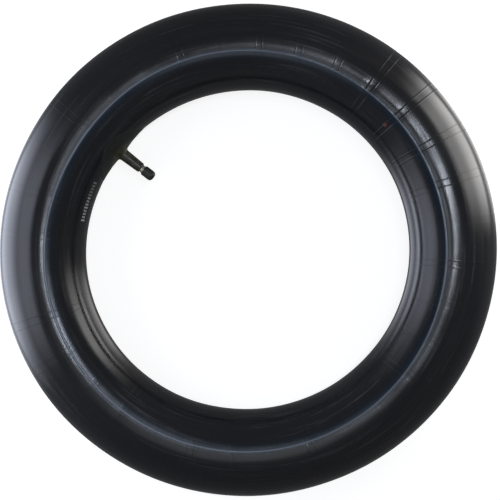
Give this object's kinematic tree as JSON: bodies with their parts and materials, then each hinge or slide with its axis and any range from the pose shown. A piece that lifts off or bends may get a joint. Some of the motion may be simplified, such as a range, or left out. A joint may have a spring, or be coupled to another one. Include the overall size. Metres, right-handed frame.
{
  "type": "bicycle inner tube",
  "caption": "Ring-shaped butyl rubber inner tube, inflated to a round section, with a rubber-covered car-type valve on its inner side, a sprung valve core and a screw-on dust cap.",
  "frame": {"origin": "centre of the ring, in its middle plane", "axes": "+Z along the ring's axis, so that the tube lies flat; +X along the valve, from its base on the inner circumference at -X towards the ring's centre; +Y completes a right-handed frame"},
  "size_m": [0.447, 0.447, 0.0774],
  "materials": {
    "butyl_rubber": "satin black with a slight blue tint, fine lengthwise streaks",
    "valve_rubber": "matte charcoal with an olive tint",
    "seal_rubber": "matte black",
    "plated_brass": "nickel plated, satin",
    "brass": "machined, slightly dull",
    "spring_steel": "bright drawn wire",
    "gasket": "red, smooth",
    "cap_plastic": "black, fine grain"
  },
  "bodies": {
    "tube": {"tube_body": "butyl_rubber", "reinforcing_patch": "valve_rubber", "valve_boot": "valve_rubber", "valve_stem": "plated_brass", "core_plug": "brass", "core_barrel": "brass", "barrel_gasket": "gasket", "core_spring": "spring_steel"},
    "pin": {"core_pin": "brass", "pin_cup": "brass", "pin_seal": "seal_rubber"},
    "cap_liner": {"cap_liner": "seal_rubber"},
    "cap": {"valve_cap": "cap_plastic"}
  },
  "joints": [
    {"name": "cap_lift", "type": "slide", "parent": "tube", "child": "cap_liner", "axis": [1, 0, 0], "range_m": [0, 0.00714]},
    {"name": "cap_turn", "type": "hinge", "parent": "cap_liner", "child": "cap", "pos_m": [-0.113, 0, 0], "axis": [1, 0, 0], "range_deg": [0, 3240]},
    {"name": "pin_press", "type": "slide", "parent": "tube", "child": "pin", "axis": [-1, 0, 0], "range_m": [0, 0.0015], "deforming": ["core_spring"]}
  ],
  "couplings": [
    {"joint": "cap_turn", "follows": "cap_lift", "rad_per_m": 7915.8}
  ]
}
